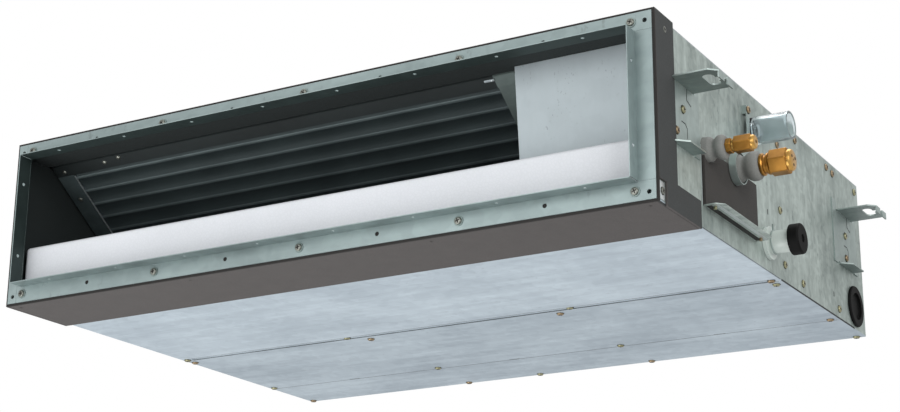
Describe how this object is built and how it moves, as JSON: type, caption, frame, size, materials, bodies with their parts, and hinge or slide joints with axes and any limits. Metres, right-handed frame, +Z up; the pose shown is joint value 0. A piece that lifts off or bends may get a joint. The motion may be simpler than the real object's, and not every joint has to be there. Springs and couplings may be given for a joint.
{
  "type": "ducted air conditioner indoor unit",
  "caption": "Slim ducted indoor unit: sheet casing with outlet flange, slanted coil, drain pan, twin centrifugal fans, side pipe connections and slotted ceiling hangers.",
  "frame": {"origin": "middle of the casing's flat underside", "axes": "+X to the pipe side, which is on the right as seen from the air outlet; +Y from the outlet flange to the air inlet at the back; +Z up, with the unit as it hangs"},
  "size_m": [0.9653, 0.664, 0.206],
  "materials": {
    "zinc_panel": "galvanised sheet, faint spangle",
    "zinc_side": "galvanised sheet, faint spangle",
    "zinc_flange": "galvanised sheet",
    "zinc_inner": "galvanised sheet",
    "cover_sheet": "galvanised sheet",
    "dark_foam": "closed-cell foam",
    "black_foam": "closed-cell foam",
    "white_foam": "expanded foam",
    "fin": "thin coated fins",
    "copper": "drawn copper",
    "brass": "machined",
    "clear_plastic": "translucent",
    "white_plastic": "moulded",
    "grey_plastic": "moulded",
    "black_plastic": "moulded",
    "black_rubber": "moulded",
    "motor_steel": "satin",
    "lamination": "stacked sheets",
    "board_green": "lacquered",
    "screw_zinc": "yellow passivated"
  },
  "bodies": {
    "casing": {"top_panel": "zinc_side", "front_sill": "zinc_panel", "bottom_panel_front": "zinc_panel", "bottom_panel_middle": "zinc_panel", "bottom_panel_rear": "zinc_panel", "side_plate_left": "zinc_side", "side_plate_right": "zinc_side", "outlet_flange": "zinc_flange", "foam_band": "dark_foam", "chamber_lining": "black_foam", "coil_fins": "fin", "coil_tubes": "copper", "coil_end_plates": "zinc_inner", "coil_top_strip": "zinc_inner", "piping_wall": "zinc_inner", "piping_cover_panel": "cover_sheet", "drain_pan": "white_foam", "liquid_pipe": "copper", "gas_pipe": "copper", "liquid_flare_nut": "brass", "gas_flare_nut": "brass", "pipe_sleeves": "black_foam", "pipe_cover": "black_foam", "pipe_strap": "black_plastic", "drain_socket": "clear_plastic", "drain_hose": "clear_plastic", "drain_port": "white_plastic", "drain_pump": "white_plastic", "pump_bracket": "zinc_inner", "float_stem": "white_plastic", "cable_bush": "black_rubber", "hanger_brackets": "zinc_side", "fan_deck": "zinc_inner", "scroll_upper_left": "grey_plastic", "scroll_lower_left": "grey_plastic", "scroll_upper_right": "grey_plastic", "scroll_lower_right": "grey_plastic", "motor_case": "motor_steel", "motor_stator": "lamination", "motor_bearings": "screw_zinc", "motor_rubber_rings": "black_rubber", "motor_cradle": "zinc_inner", "motor_straps": "zinc_inner", "fan_chamber_wall": "zinc_inner", "rear_inlet_frame": "zinc_side", "rear_closing_plate": "zinc_side", "electrical_box": "zinc_inner", "electrical_box_cover": "zinc_inner", "control_board": "board_green", "terminal_block": "white_plastic", "flange_screws": "screw_zinc", "casing_screws": "screw_zinc"},
    "fan_rotor": {"motor_rotor": "lamination", "fan_wheel_left": "white_plastic", "fan_wheel_right": "white_plastic"},
    "pump_rotor": {"pump_impeller": "grey_plastic"},
    "water_float": {"pan_float": "white_plastic"},
    "port_cap": {"drain_cap": "black_rubber"},
    "filter": {"air_filter": "black_plastic"}
  },
  "joints": [
    {"name": "fan_spin", "type": "hinge", "parent": "casing", "child": "fan_rotor", "pos_m": [-0.08, 0.1255, 0.088], "axis": [1, 0, 0], "continuous": true},
    {"name": "pump_spin", "type": "hinge", "parent": "casing", "child": "pump_rotor", "pos_m": [0.335, -0.0525, 0.06], "axis": [0, 0, 1], "continuous": true},
    {"name": "float_rise", "type": "slide", "parent": "casing", "child": "water_float", "axis": [0, 0, 1], "range_m": [0, 0.012]},
    {"name": "cap_pull", "type": "slide", "parent": "casing", "child": "port_cap", "axis": [1, 0, 0], "range_m": [0, 0.04]},
    {"name": "filter_slide", "type": "slide", "parent": "casing", "child": "filter", "axis": [0, 1, 0], "range_m": [0, 0.1]}
  ]
}
